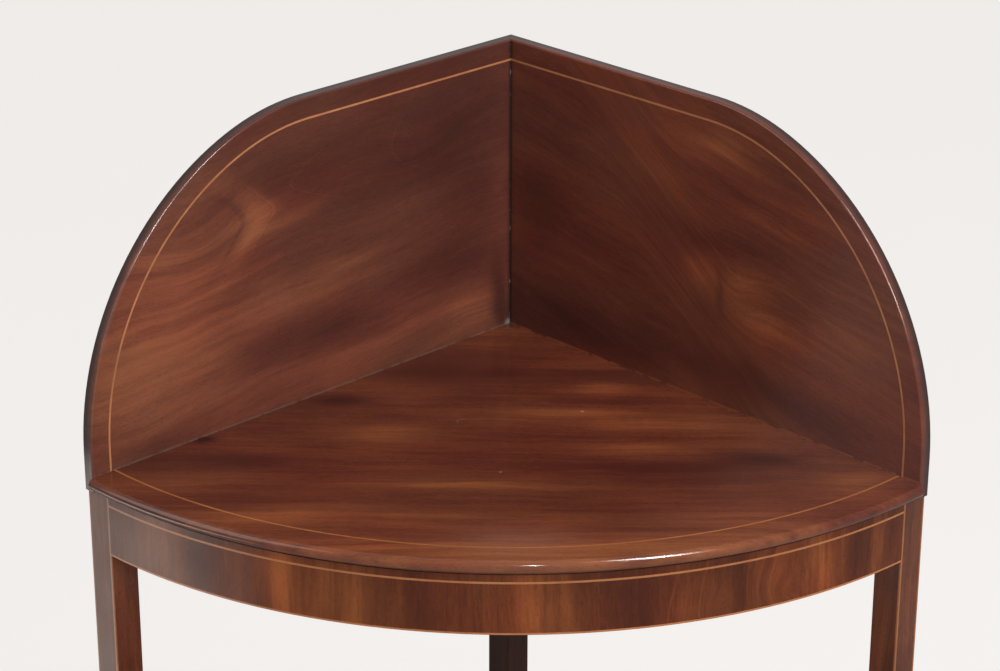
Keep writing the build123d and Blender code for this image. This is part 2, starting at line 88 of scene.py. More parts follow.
def place_camera():
    """The camera at the photograph's viewpoint, from the lines of the top and splashbacks."""
    yaw, pitch, roll = radians(CAMERA_YAW), radians(CAMERA_PITCH), radians(CAMERA_ROLL)
    ahead = Vector((sin(yaw) * cos(pitch), cos(yaw) * cos(pitch), -sin(pitch)))
    level = Vector((cos(yaw), -sin(yaw), 0))
    upward = level.cross(ahead)
    right = cos(roll) * level + sin(roll) * upward
    up = -sin(roll) * level + cos(roll) * upward
    data = bpy.data.cameras.new("photo_camera")
    data.sensor_width, data.lens = SENSOR_WIDTH, LENS
    data.clip_start, data.clip_end = 0.05, 100.0
    camera = bpy.data.objects.new("photo_camera", data)
    turned = Matrix((right, up, -ahead)).transposed()
    camera.matrix_world = Matrix.Translation(CAMERA_PLACE) @ turned.to_4x4()
    bpy.context.scene.collection.objects.link(camera)
    bpy.context.scene.camera = camera


class Graph:
    """A short way to write a net of shader nodes: every call adds a node and gives its output."""

    def __init__(self, name):
        self.material = bpy.data.materials.new(name)
        self.material.use_nodes = True
        self.tree = self.material.node_tree
        self.tree.nodes.clear()
        self.end = self.tree.nodes.new("ShaderNodeOutputMaterial")

    def feed(self, socket, value):
        if isinstance(value, bpy.types.NodeSocket):
            self.tree.links.new(value, socket)
        else:
            socket.default_value = value

    def add(self, kind, settings=None, **sockets):
        node = self.tree.nodes.new("ShaderNode" + kind)
        for key, value in (settings or {}).items():
            setattr(node, key, value)
        for key, value in sockets.items():
            self.feed(node.inputs[key.replace("_", " ")], value)
        return node

    def maths(self, operation, *values):
        node = self.add("Math", {"operation": operation})
        for socket, value in zip(node.inputs, values):
            self.feed(socket, value)
        return node.outputs[0]

    def vector(self, operation, *values, output="Vector"):
        node = self.add("VectorMath", {"operation": operation})
        for socket, value in zip(node.inputs, values):
            self.feed(socket, value)
        return node.outputs[output]

    def plus(self, a, b):
        return self.maths("ADD", a, b)

    def minus(self, a, b):
        return self.maths("SUBTRACT", a, b)

    def times(self, a, b):
        return self.maths("MULTIPLY", a, b)

    def dot(self, a, b):
        return self.vector("DOT_PRODUCT", a, b, output="Value")

    def join(self, x, y, z):
        return self.add("CombineXYZ", X=x, Y=y, Z=z).outputs[0]

    def split(self, vector):
        return self.add("SeparateXYZ", Vector=vector).outputs[:3]

    def ramp(self, value, low, high, low_out=0.0, high_out=1.0):
        node = self.add("MapRange", {"interpolation_type": "SMOOTHSTEP"}, Value=value)
        limits = ("From Min", low), ("From Max", high), ("To Min", low_out), ("To Max", high_out)
        for key, amount in limits:
            self.feed(node.inputs[key], amount)
        return node.outputs[0]

    def noise(self, vector, scale=1.0, detail=2.0, roughness=0.5, output="Fac"):
        node = self.add("TexNoise", None, Vector=vector, Scale=scale, Detail=detail, Roughness=roughness)
        return node.outputs[output]

    def blend(self, share, a, b):
        node = self.add("Mix", {"data_type": "RGBA"})
        self.feed(node.inputs[0], share)
        for socket, value in ((node.inputs[6], a), (node.inputs[7], b)):
            self.feed(socket, (*value, 1.0) if isinstance(value, tuple) else value)
        return node.outputs[2]

    def tones(self, value, *stops):
        """Colours spread evenly over a value from 0 to 1."""
        node = self.add("ValToRGB", None, Fac=value)
        node.color_ramp.interpolation = "CARDINAL"
        points = node.color_ramp.elements
        while len(points) < len(stops):
            points.new(0.5)
        for index, colour in enumerate(stops):
            points[index].position = index / (len(stops) - 1)
            points[index].color = (*colour, 1.0)
        return node.outputs[0]

    def place(self):
        return self.add("TexCoord").outputs["Object"]

    def facing(self, direction):
        """One where the surface faces a direction, for the sides that were left unpolished."""
        normal = self.add("NewGeometry").outputs["Normal"]
        return self.ramp(self.dot(normal, direction), 0.6, 0.8)

    def crevice(self, distance):
        """One deep in the angle between two surfaces."""
        node = self.add("AmbientOcclusion", {"samples": 4}, Distance=distance)
        return self.minus(1.0, node.outputs["AO"])

    def bump(self, height, distance, strength):
        return self.add("Bump", Height=height, Distance=distance, Strength=strength).outputs[0]

    def surface(self, **sockets):
        shader = self.add("BsdfPrincipled", None, **sockets)
        self.feed(self.end.inputs["Surface"], shader.outputs[0])
        return self.material


# How the grain runs in a piece: each gives the distances along the grain, across it and through the board
def straight_grain(along, across, shift=0.0):
    """Grain along a fixed direction, for straight boards and rails."""
    through = tuple(Vector(along).cross(Vector(across)))

    def coordinates(net):
        place = net.place()
        return net.plus(net.dot(place, along), shift), net.dot(place, across), net.dot(place, through)

    return coordinates


def upright_bow_grain():
    """Upright grain on a bowed face, with the distance round the bow across it."""

    def coordinates(net):
        x, y, z = net.split(net.place())
        back = net.minus(BOW_Y, y)
        angle = net.maths("ARCTAN2", x, back)
        radius = net.vector("LENGTH", net.join(x, back, 0.0), output="Value")
        return z, net.times(angle, BOW_RADIUS), radius

    return coordinates


# The steep stretch of grain: how far it leans, and where it starts and ends along a splashback
STEEP_LEAN, STEEP_START, STEEP_END = 0.62, 0.205, 0.315


def splashback_grain(side, slope, drop=0.0):
    """Grain that rises towards the room corner, with a steep stretch where it drops."""
    outward, inward = (side * DIAGONAL, -DIAGONAL, 0), (side * DIAGONAL, DIAGONAL, 0)

    def coordinates(net):
        place = net.vector("SUBTRACT", net.place(), (0.0, ROOM_CORNER_Y, TOP_LEVEL))
        run, rise = net.dot(place, outward), net.dot(place, (0.0, 0.0, 1.0))
        across = net.plus(rise, net.times(run, slope))
        if drop:
            turn = net.plus(run, net.times(rise, STEEP_LEAN))
            across = net.plus(across, net.ramp(turn, STEEP_START, STEEP_END, 0.0, drop))
        return run, across, net.dot(place, inward), rise

    return coordinates


def blob(net, place, along_at, level_at, half_length, half_height):
    """A soft spot: one in its middle, and falling off along the grain and across it."""
    away = net.vector("SUBTRACT", place, (along_at, level_at, 0.0))
    away = net.vector("MULTIPLY", away, (1 / half_length, 1 / half_height, 0.0))
    return net.maths("EXPONENT", net.times(net.dot(away, away), -1.0))


# How far the figure drifts along the grain and across it, in metres
DRIFT = (0.05, 0.024)
# The refractive index of old shellac polish
POLISH_IOR = 1.45


class Board:
    """A board's coordinates, which drift as the figure of real wood does, and its streaks."""

    def __init__(self, net, coordinates, seed, bends):
        self.net = net
        self.along, across, self.through, *level = coordinates(net)
        self.level = level[0] if level else across
        self.seeded = net.plus(self.through, seed)
        sway = net.join(net.times(self.along, 7.0), net.times(self.level, 11.0), self.seeded)
        drift = net.noise(sway, detail=2.0, output="Color")
        drift = net.vector("MULTIPLY_ADD", drift, (*DRIFT, 0.0), (-DRIFT[0] / 2, -DRIFT[1] / 2, 0.0))
        self.exact = net.join(self.along, self.level, 0.0)
        self.spot = net.vector("ADD", self.exact, drift)
        across = net.plus(across, net.times(net.dot(drift, (0.0, 1.0, 0.0)), 0.8))
        for *where, strength in bends:
            across = net.plus(across, net.times(blob(net, self.spot, *where), strength))
        self.across = across

    def streaks(self, run, cross, detail):
        """Noise about zero that is stretched along the grain.

        run and cross are how often it changes in a metre, along the grain and across it.
        """
        net = self.net
        vector = net.join(
            net.times(self.along, run), net.times(self.across, cross), net.times(self.seeded, cross * 0.6)
        )
        return net.minus(net.noise(vector, detail=detail, roughness=0.55), 0.5)


# How much the streaks, clouds and flecks of a strong figure change the tone
BROAD_SHARE, MEDIUM_SHARE, FINE_SHARE, CLOUD_SHARE, FLECK_SHARE = 0.60, 0.46, 0.34, 0.75, 0.14
# How many growth lines a metre has where they show, and how rounded the point of a crotch line is
GROWTH_LINES, CROTCH_ROUNDING = 38.0, 0.008


def figured_tone(net, board, bands, figure, tint, patches, veins, crotches):
    """How light the wood is, from 0 to 1, and its fine streaks."""
    broad = board.streaks(2.4, bands, 2.0)
    medium = board.streaks(8.0, bands * 4.5, 3.0)
    fine = board.streaks(26.0, bands * 16.0, 3.0)
    fleck = board.streaks(120.0, 750.0, 1.0)
    cloud = net.minus(net.noise(net.vector("MULTIPLY", board.spot, (9.0, 18.0, 1.0)), detail=3.0), 0.5)

    parts = (broad, BROAD_SHARE), (medium, MEDIUM_SHARE), (fine, FINE_SHARE), (cloud, CLOUD_SHARE)
    tone = tint
    for part, weight in parts:
        tone = net.plus(tone, net.times(part, weight * figure))
    for *where, amount in patches:
        streaked = net.plus(1.0, net.times(medium, 2.2))
        tone = net.plus(tone, net.times(net.times(blob(net, board.spot, *where), streaked), amount))
    if veins:
        rings = net.times(net.plus(board.across, net.times(net.minus(cloud, broad), 0.030)), GROWTH_LINES)
        away = net.maths("ABSOLUTE", net.minus(net.maths("FRACT", rings), 0.5))
        ring = net.ramp(away, 0.01, 0.06, 1.0, 0.0)
    for *where, amount in veins:
        tone = net.plus(tone, net.times(net.times(ring, blob(net, board.spot, *where)), amount))
    for *where, amount, opening, way, tilt, width in crotches:
        x, y, _ = net.split(net.vector("SUBTRACT", board.spot, (*where[:2], 0.0)))
        off = net.plus(y, net.times(x, tilt))
        off = net.maths("SQRT", net.plus(net.times(off, off), CROTCH_ROUNDING ** 2))
        off = net.minus(off, CROTCH_ROUNDING)
        away = net.maths("ABSOLUTE", net.minus(x, net.times(off, way * opening)))
        share = net.times(net.ramp(away, 0.0, width, 1.0, 0.0), blob(net, board.spot, *where))
        tone = net.plus(tone, net.times(share, amount))
    return net.plus(tone, net.times(fleck, FLECK_SHARE)), fine


def wood_colour(net, board, tone, pores, palette, seed):
    """The palette over the tone, redder in places, with the pores dark."""
    redder = tuple((red, 0.88 * green, 0.92 * blue) for red, green, blue in palette)
    hue = net.noise(net.vector("MULTIPLY_ADD", board.spot, (6.0, 13.0, 1.0), (seed, 4.0, 0.0)), detail=2.0)
    colour = net.blend(net.ramp(hue, 0.42, 0.60), net.tones(tone, *palette), net.tones(tone, *redder))
    return net.blend(pores, colour, tuple(channel * 0.3 for channel in palette[0]))


def rubbed_share(net):
    """How bare the rounded arrises are rubbed, in patches."""
    worn = net.add("Attribute", {"attribute_name": "worn"}).outputs["Fac"]
    patchy = net.ramp(net.noise(net.place(), scale=60.0, detail=3.0), 0.42, 0.6)
    return net.times(net.times(worn, patchy), 0.5)


# The narrow sides of a board darkened as painted shade with dirt, and the painted shade with dirt in its
# angles
EDGE_SHADE_AND_DIRT, ANGLE_SHADE_AND_DIRT = (0.020, 0.012, 0.011), (0.022, 0.011, 0.008)
# Where the painted shade on the narrow sides starts and ends, measured through the board from its back
DARKENS_FROM, DARKENS_TO = -0.0088, -0.0020
# Unpolished mahogany, from dark to light
DRY_TONES = ((0.040, 0.017, 0.010), (0.105, 0.047, 0.026), (0.17, 0.085, 0.048))


def shaded_and_soiled(net, board, colour, edges, seams, marks):
    """The colour with painted shade and dirt on the narrow sides of the board, painted shade with dirt in
    its angles, and its seams and marks.
    """
    front = 1.0
    # The narrow sides darken as painted shade with dirt, more towards the back of the board
    if edges:
        square = net.dot(net.add("NewGeometry").outputs["Normal"], edges)
        front = net.ramp(square, -0.99, -0.90, 1.0, 0.0)
        narrow = net.ramp(net.maths("ABSOLUTE", square), 0.30, 0.92, 1.0, 0.0)
        narrow = net.times(narrow, net.ramp(board.through, DARKENS_FROM, DARKENS_TO, 0.20, 0.85))
        colour = net.blend(narrow, colour, EDGE_SHADE_AND_DIRT)
    # Painted shade with dirt: darker deep in the angles between surfaces, following an occlusion mask
    angle_shade_and_dirt = net.ramp(net.crevice(0.014), 0.35, 0.95, 0.0, 0.6)
    colour = net.blend(angle_shade_and_dirt, colour, ANGLE_SHADE_AND_DIRT)
    broken = net.noise(net.place(), scale=110.0, detail=2.0)
    for axis, at, half_width, stain, strength, breaks in seams:
        away = net.maths("ABSOLUTE", net.minus((board.along, board.level)[axis], at))
        share = net.ramp(away, 0.0, half_width, strength, 0.0)
        share = net.times(share, net.ramp(broken, breaks, breaks + 0.10))
        colour = net.blend(net.times(share, front), colour, stain)
    for *where, stain, strength in marks:
        colour = net.blend(net.times(blob(net, board.exact, *where), strength), colour, stain)
    return colour


def mahogany(
    name, coordinates, palette, seed=0.0, bands=30.0, figure=1.0, bends=(), patches=(), veins=(),
    crotches=(), seams=(), marks=(), edges=None, raw=(), tint=0.5, gloss=0.5, polish=(0.09, 0.16),
):
    """French polished mahogany: drifting figure, fine fibre, short dark pores, painted shade with dirt in
    the angles.

    bends are places where the grain turns round a swelling, as (along, level, half length, half
    height, strength). patches are lighter or darker places, as (..., tone), some in the wood itself
    and some painted light and shade; veins are places with thin wavy growth lines, as (..., tone).
    crotches are growth lines that turn back in a rounded point, as (..., tone, opening, which way it
    opens, tilt, half width of the line). seams are straight lines of dirt, wax and other colours, as
    (axis, at, half width, colour, strength, noise that breaks them), and marks are small spots or a
    painted reflection, as (..., colour, strength). edges is the direction through a board whose narrow
    sides get painted shade with dirt, raw lists the directions that its unpolished sides face, and polish is
    how rough the polish is, from its best places to its dullest.
    """
    net = Graph(name)
    board = Board(net, coordinates, seed, bends)
    tone, fine = figured_tone(net, board, bands, figure, tint, patches, veins, crotches)
    pores = net.times(net.ramp(board.streaks(330.0, 2600.0, 1.0), 0.10, 0.22), 0.4)
    rubbed = rubbed_share(net)
    colour = wood_colour(net, board, tone, pores, palette, seed)
    colour = net.blend(rubbed, colour, palette[-1])
    colour = shaded_and_soiled(net, board, colour, edges, seams, marks)

    sheen = net.noise(net.place(), scale=22.0, detail=3.0)
    rough = net.plus(net.ramp(sheen, 0.3, 0.7, *polish), net.times(rubbed, 0.25))
    if raw:
        bare = net.facing(raw[0])
        for direction in raw[1:]:
            bare = net.maths("MAXIMUM", bare, net.facing(direction))
        colour = net.blend(bare, colour, net.tones(net.plus(tone, 0.1), *DRY_TONES))
        rough = net.plus(rough, net.times(bare, 0.45))

    ripple = net.noise(net.place(), scale=30.0, detail=2.0)
    relief = net.plus(net.times(fine, 0.10), net.plus(net.times(pores, -0.12), net.times(ripple, 0.9)))
    return net.surface(
        Base_Color=colour, Roughness=rough, IOR=POLISH_IOR, Specular_IOR_Level=gloss,
        Normal=net.bump(relief, 0.0004, 0.2),
    )


# Painted shade with dirt in the angles of the boxwood lines and of the bare wood, and how glossy the lines
# are
LINE_SHADE_AND_DIRT, BARE_SHADE_AND_DIRT = (0.05, 0.022, 0.012), (0.05, 0.03, 0.018)
LINE_GLOSS = 0.3


def boxwood(name, shades):
    """Boxwood line, turned orange under the old polish, darker in places, with painted shade and dirt in its
    angles.
    """
    net = Graph(name)
    grain = net.noise(net.place(), scale=140.0, detail=4.0)
    patch = net.noise(net.place(), scale=16.0, detail=3.0)
    colour = net.tones(net.plus(net.times(grain, 0.35), net.times(patch, 0.65)), *shades)
    # Painted shade with dirt, deep in the angles between surfaces
    angle_shade_and_dirt = net.ramp(net.crevice(0.010), 0.35, 0.95, 0.0, 0.6)
    colour = net.blend(angle_shade_and_dirt, colour, LINE_SHADE_AND_DIRT)
    rough = net.ramp(patch, 0.3, 0.7, 0.16, 0.26)
    return net.surface(
        Base_Color=colour, Roughness=rough, IOR=POLISH_IOR, Specular_IOR_Level=LINE_GLOSS,
        Normal=net.bump(grain, 0.00005, 0.3),
    )


def bare_wood(name, coordinates, shades, rings=55.0):
    """Bare secondary wood, with growth lines, fibre, a little dirt, and painted shade with dirt in its
    angles.
    """
    net = Graph(name)
    along, across, through = coordinates(net)
    sway = net.noise(net.join(net.times(along, 3.0), net.times(across, 9.0), through), detail=2.0)
    across_rings = net.plus(net.times(across, rings), net.times(sway, 2.0))
    lines = net.noise(net.join(net.times(along, 1.5), across_rings, net.times(through, rings)), detail=3.0)
    fibre_place = net.join(net.times(along, 40.0), net.times(across, 1400.0), net.times(through, 1400.0))
    fibre = net.noise(fibre_place, detail=2.0)
    tone = net.ramp(net.plus(net.times(lines, 0.75), net.times(fibre, 0.25)), 0.34, 0.66)
    colour = net.tones(tone, *shades)
    dirt = net.noise(net.place(), scale=20.0, detail=4.0)
    darker = tuple(channel * 0.5 for channel in shades[0])
    colour = net.blend(net.ramp(dirt, 0.5, 0.8, 0.0, 0.35), colour, darker)
    # Painted shade with dirt, deep in the angles between surfaces
    colour = net.blend(net.ramp(net.crevice(0.012), 0.3, 0.9, 0.0, 0.5), colour, BARE_SHADE_AND_DIRT)
    return net.surface(Base_Color=colour, Roughness=0.62, Normal=net.bump(fibre, 0.00008, 0.6))


def metal(name, colour, tarnish, polish, dull):
    """Metal with tarnish in patches and in the angles, and fine scratches."""
    net = Graph(name)
    patch = net.noise(net.place(), scale=160.0, detail=4.0, roughness=0.6)
    dirty = net.maths("MAXIMUM", net.ramp(patch, 0.45, 0.75), net.ramp(net.crevice(0.004), 0.3, 0.9))
    rough = net.ramp(patch, 0.3, 0.8, polish, dull)
    scratches = net.noise(net.place(), scale=900.0, detail=2.0)
    tinted = net.blend(dirty, colour, tarnish)
    normal = net.bump(scratches, 0.00002, 0.3)
    return net.surface(Base_Color=tinted, Metallic=1.0, Roughness=rough, Normal=normal)


# Directions: across the front, up, to the front, down, out through the two walls, and along them
SPAN, UP, FRONT, DOWN = (1.0, 0.0, 0.0), (0.0, 0.0, 1.0), (0.0, -1.0, 0.0), (0.0, 0.0, -1.0)
BACK_RIGHT, BACK_LEFT = (DIAGONAL, DIAGONAL, 0.0), (-DIAGONAL, DIAGONAL, 0.0)
RIGHT_WALL, LEFT_WALL = (DIAGONAL, -DIAGONAL, 0.0), (-DIAGONAL, -DIAGONAL, 0.0)

# The colours of each wood from dark to light, with the rear leg's darkened as painted shade, and those of
# its dirt, wax and marks, one of them a painted reflection
RED = ((0.043, 0.0168, 0.0122), (0.124, 0.0412, 0.0247), (0.284, 0.0970, 0.0450))
BROWN = ((0.046, 0.0155, 0.0115), (0.144, 0.0425, 0.0240), (0.325, 0.1030, 0.0385))
TOP_TONES = ((0.029, 0.0082, 0.0060), (0.103, 0.0272, 0.0138), (0.276, 0.0860, 0.0280))
VENEER_TONES = ((0.036, 0.0105, 0.0060), (0.108, 0.0265, 0.0085), (0.370, 0.1080, 0.0290))
LEG_TONES = ((0.050, 0.0180, 0.0115), (0.135, 0.0440, 0.0210), (0.260, 0.0860, 0.0340))
# The rear leg's tones are the leg wood darkened as painted shade
REAR_SHADED_TONES = ((0.015, 0.0058, 0.0044), (0.036, 0.0125, 0.0082), (0.075, 0.0260, 0.0150))
GRIME, DUST, WAX = (0.016, 0.010, 0.009), (0.360, 0.345, 0.330), (0.150, 0.110, 0.085)
# Next: a light orange line for the foot of a splashback, chips, and a painted reflection, a soft pinkish
# sheen
LIGHT_FOOT_LINE, CHIP, PAINTED_REFLECTION = (0.320, 0.100, 0.034), (0.42, 0.34, 0.28), (0.270, 0.140, 0.100)
# How far from the room corner the splashbacks' faces meet, which is their thickness
MITRE_AT = 0.0095

left_splash_wood = mahogany(
    "mahogany_splash_left", splashback_grain(-1, 0.08), RED, seed=2.0, bands=22.0, figure=0.47,
    polish=(0.13, 0.21),
    bends=((0.322, 0.150, 0.055, 0.034, 0.018), (0.114, 0.176, 0.040, 0.030, 0.012)),
    # Lighter and darker patches: mostly the wood's figure, but lighter towards the outer end and darker near
    # the room corner and along the foot as painted light and shade
    patches=(
        (0.268, 0.156, 0.028, 0.018, 0.26), (0.222, 0.150, 0.045, 0.012, 0.12),
        (0.200, 0.026, 0.110, 0.008, 0.14), (0.022, 0.128, 0.012, 0.024, 0.12),
        (0.350, 0.075, 0.080, 0.060, 0.26), (0.340, 0.140, 0.055, 0.045, 0.16),
        (0.255, 0.055, 0.060, 0.022, -0.20), (0.190, 0.052, 0.028, 0.012, -0.14),
        (0.078, 0.070, 0.045, 0.018, -0.14), (0.110, 0.180, 0.120, 0.045, -0.23),
        (0.050, 0.024, 0.034, 0.018, 0.26), (0.170, 0.103, 0.045, 0.007, 0.14),
        (0.370, 0.012, 0.050, 0.008, -0.16), (0.016, 0.020, 0.008, 0.030, -0.40),
        (0.045, 0.120, 0.050, 0.080, -0.12), (0.140, 0.236, 0.200, 0.014, -0.14),
    ),
    veins=((0.310, 0.140, 0.060, 0.040, 0.06),),
    crotches=(
        (0.256, 0.158, 0.055, 0.045, 0.18, 1.39, 1, 0.19, 0.022),
        (0.274, 0.158, 0.045, 0.035, -0.10, 1.39, 1, 0.19, 0.006),
        (0.244, 0.158, 0.050, 0.040, 0.08, 1.39, 1, 0.19, 0.0020),
        (0.228, 0.174, 0.085, 0.040, 0.10, 2.60, -1, 0.10, 0.0013),
        (0.136, 0.180, 0.060, 0.045, 0.09, 1.16, -1, 0.36, 0.0014),
    ),
    seams=(
        (0, MITRE_AT, 0.0035, GRIME, 0.75, 0.25), (0, MITRE_AT, 0.0012, DUST, 0.40, 0.58),
        (1, 0.0, 0.0022, WAX, 0.50, 0.36),
    ),
    marks=((0.0115, 0.002, 0.0030, 0.0025, DUST, 0.45),),
    edges=BACK_LEFT, raw=(BACK_LEFT,),
)
right_splash_wood = mahogany(
    "mahogany_splash_right", splashback_grain(1, 0.20, 0.085), BROWN, seed=9.0, bands=22.0, figure=0.52,
    polish=(0.13, 0.21),
    bends=((0.235, 0.09, 0.030, 0.030, 0.014),),
    # Lighter and darker patches: mostly the wood's figure, but darker near the room corner and along the
    # foot as painted shade
    patches=(
        (0.234, 0.203, 0.030, 0.008, 0.20), (0.225, 0.086, 0.005, 0.016, -0.16),
        (0.205, 0.102, 0.016, 0.012, 0.20), (0.250, 0.097, 0.024, 0.010, 0.18),
        (0.275, 0.070, 0.032, 0.012, 0.18), (0.350, 0.085, 0.050, 0.016, 0.16),
        (0.240, 0.200, 0.050, 0.014, 0.14), (0.290, 0.165, 0.040, 0.012, 0.14),
        (0.230, 0.132, 0.070, 0.012, -0.12), (0.290, 0.024, 0.120, 0.012, -0.13),
        (0.070, 0.020, 0.110, 0.026, -0.34), (0.035, 0.120, 0.040, 0.060, -0.12),
    ),
    veins=((0.240, 0.120, 0.120, 0.060, 0.08),),
    seams=(
        (0, MITRE_AT, 0.0035, GRIME, 0.75, 0.25), (0, MITRE_AT, 0.0011, DUST, 0.30, 0.60),
        # A thin light orange line along the foot of the board
        (1, 0.0, 0.0024, LIGHT_FOOT_LINE, 0.60, 0.40),
    ),
    edges=BACK_RIGHT, raw=(BACK_RIGHT,),
)
top_wood = mahogany(
    "mahogany_top", straight_grain(SPAN, FRONT), TOP_TONES, seed=3.1, bands=34.0, figure=0.46,
    patches=(
        (0.074, -0.078, 0.028, 0.012, 0.26), (0.058, -0.034, 0.045, 0.010, 0.24),
        (0.102, -0.014, 0.045, 0.010, 0.20), (-0.086, 0.006, 0.034, 0.014, 0.22),
        (0.090, 0.030, 0.035, 0.012, 0.20), (-0.038, 0.094, 0.060, 0.007, 0.26),
        (0.250, 0.088, 0.030, 0.022, 0.16), (-0.128, -0.052, 0.022, 0.009, -0.36),
        (-0.222, 0.022, 0.008, 0.005, -0.50), (-0.200, 0.060, 0.045, 0.014, -0.22),
        (0.182, 0.046, 0.022, 0.008, -0.24), (0.090, 0.062, 0.100, 0.012, -0.17),
        (-0.030, -0.110, 0.050, 0.030, -0.14), (0.000, 0.200, 0.280, 0.030, 0.26),
        (-0.178, 0.152, 0.050, 0.016, 0.14), (0.180, 0.150, 0.060, 0.020, 0.16),
        (-0.070, 0.150, 0.130, 0.016, 0.08),
    ),
    veins=((0.0, 0.06, 0.20, 0.10, 0.05),),
    marks=(
        (0.056, -0.036, 0.0012, 0.0010, CHIP, 0.60), (-0.004, 0.071, 0.0008, 0.0008, CHIP, 0.60),
        (-0.034, -0.020, 0.0020, 0.0005, WAX, 0.70), (-0.037, -0.016, 0.0006, 0.0020, WAX, 0.70),
        # A painted reflection: a soft pinkish sheen near the front of the top
        (0.010, 0.182, 0.042, 0.022, PAINTED_REFLECTION, 0.26),
    ),
    raw=(DOWN,),
)
shelf_wood = mahogany(
    "mahogany_shelf", straight_grain(SPAN, FRONT, 0.7), TOP_TONES, seed=7.7, bands=34.0, raw=(DOWN,)
)
leg_wood = mahogany(
    "mahogany_leg", straight_grain(UP, RIGHT_WALL), LEG_TONES, seed=1.3, bands=60.0, gloss=0.24,
    polish=(0.15, 0.25),
)
# The rear leg: a darker copy of the leg wood, as painted shade
shaded_rear_leg_wood = mahogany(
    "mahogany_leg_rear_shaded", straight_grain(UP, RIGHT_WALL), REAR_SHADED_TONES, seed=8.3, bands=60.0, gloss=0.14,
    polish=(0.20, 0.30),
)
right_rail_wood = mahogany(
    "mahogany_rail_right", straight_grain(RIGHT_WALL, UP), BROWN, raw=(DOWN, BACK_LEFT, BACK_RIGHT)
)
left_rail_wood = mahogany(
    "mahogany_rail_left", straight_grain(LEFT_WALL, UP), BROWN, raw=(DOWN, BACK_LEFT, BACK_RIGHT)
)

# The middle of the frieze and how far its flames reach from there
FRIEZE_LEVEL, FRIEZE_REACH = 0.803, 0.040
# Flames and dark bands on the frieze: angle round the bow, half width, and how much lighter or darker
FRIEZE_BANDS = (
    (-0.640, 0.050, 0.08), (-0.545, 0.024, -0.12), (-0.450, 0.034, 0.05), (-0.385, 0.018, 0.30),
    (-0.330, 0.055, 0.14), (-0.300, 0.016, 0.12), (-0.250, 0.015, 0.12), (-0.175, 0.014, 0.10),
    (-0.120, 0.040, -0.07), (0.045, 0.024, 0.24), (0.103, 0.012, 0.10), (0.225, 0.060, -0.08),
    (0.405, 0.022, -0.14), (0.480, 0.060, 0.08), (0.567, 0.018, 0.26), (0.640, 0.014, -0.12),
    (0.690, 0.016, 0.16), (0.730, 0.012, -0.06),
)
veneer_wood = mahogany(
    "mahogany_veneer", upright_bow_grain(), VENEER_TONES, seed=5.0, bands=26.0, figure=0.40,
    tint=0.53, gloss=0.24, polish=(0.20, 0.30),
    bends=(
        (0.790, 0.352 * BOW_RADIUS, 0.012, 0.008, 0.010),
        (0.795, 0.480 * BOW_RADIUS, 0.020, 0.016, 0.012),
    ),
    patches=tuple(
        (FRIEZE_LEVEL, angle * BOW_RADIUS, FRIEZE_REACH, width * BOW_RADIUS, tone)
        for angle, width, tone in FRIEZE_BANDS
    ),
    veins=(
        (0.800, 0.300 * BOW_RADIUS, 0.040, 0.045, 0.08),
        (0.800, 0.500 * BOW_RADIUS, 0.040, 0.030, 0.07),
    ),
)
splash_line = boxwood("boxwood_splash", ((0.18, 0.068, 0.028), (0.40, 0.158, 0.070), (0.58, 0.26, 0.120)))
top_line = boxwood("boxwood_top", ((0.15, 0.045, 0.016), (0.31, 0.106, 0.035), (0.47, 0.19, 0.064)))
line_wood = boxwood("boxwood_line", ((0.26, 0.090, 0.035), (0.42, 0.158, 0.060), (0.56, 0.23, 0.092)))
leg_line = boxwood("boxwood_leg", ((0.19, 0.064, 0.025), (0.32, 0.116, 0.044), (0.44, 0.172, 0.068)))
pine_wood = bare_wood("pine_bare", straight_grain(SPAN, UP), ((0.34, 0.19, 0.085), (0.52, 0.33, 0.16)))
oak_wood = bare_wood("oak_bare", straight_grain(FRONT, SPAN), ((0.26, 0.15, 0.07), (0.42, 0.27, 0.13)), 90.0)
brass = metal("brass_aged", (0.72, 0.50, 0.20), (0.36, 0.23, 0.09), 0.22, 0.40)
steel = metal("steel_dull", (0.36, 0.34, 0.33), (0.20, 0.15, 0.12), 0.38, 0.60)

# Which pieces each material is for
DRESSING = {
    top_wood: ("top_board",),
    shelf_wood: ("middle_shelf", "undertier", "case_bottom_rail"),
    leg_wood: ("front_leg_right", "front_leg_left"),
    shaded_rear_leg_wood: ("rear_leg",),
    right_rail_wood: ("upper_rail_right", "case_rail_right"),
    left_rail_wood: ("upper_rail_left", "case_rail_left"),
    veneer_wood: (
        "frieze_veneer", "frieze_top_band", "dummy_veneer_right", "dummy_veneer_left", "drawer_veneer",
    ),
    left_splash_wood: ("splashback_left",),
    right_splash_wood: ("splashback_right",),
    splash_line: ("splash_string_right", "splash_string_left"),
    top_line: ("top_string",),
    line_wood: (
        "frieze_string", "frieze_lower_string", "dummy_string_right", "dummy_string_left", "drawer_string",
    ),
    leg_line: ("leg_strings_right", "leg_strings_left"),
    pine_wood: (
        "top_fixing_blocks", "shelf_fixing_blocks", "splash_dowels", "frieze_core",
        "dummy_front_right", "dummy_front_left", "drawer_front", "drawer_guide_right",
        "drawer_guide_left", "drawer_runner_right", "drawer_runner_left", "drawer_stops",
    ),
    oak_wood: ("drawer_side_right", "drawer_side_left", "drawer_back", "drawer_bottom"),
    brass: ("dummy_knobs", "drawer_knob", "drawer_knob_nut"),
    steel: ("top_fixing_screws", "shelf_fixing_screws"),
}

# Corners this near are one, and a piece this near the side of an arris touches it
WELD, TOUCH = 2e-6, 3.5e-4
# How far inside the side of an arris the search for a touching piece looks
PROBE_INSET = 5e-4
# An edge sharper than the first angle is an arris, and faces within the second one are one flat face
SHARP, FLAT = radians(32), radians(0.05)
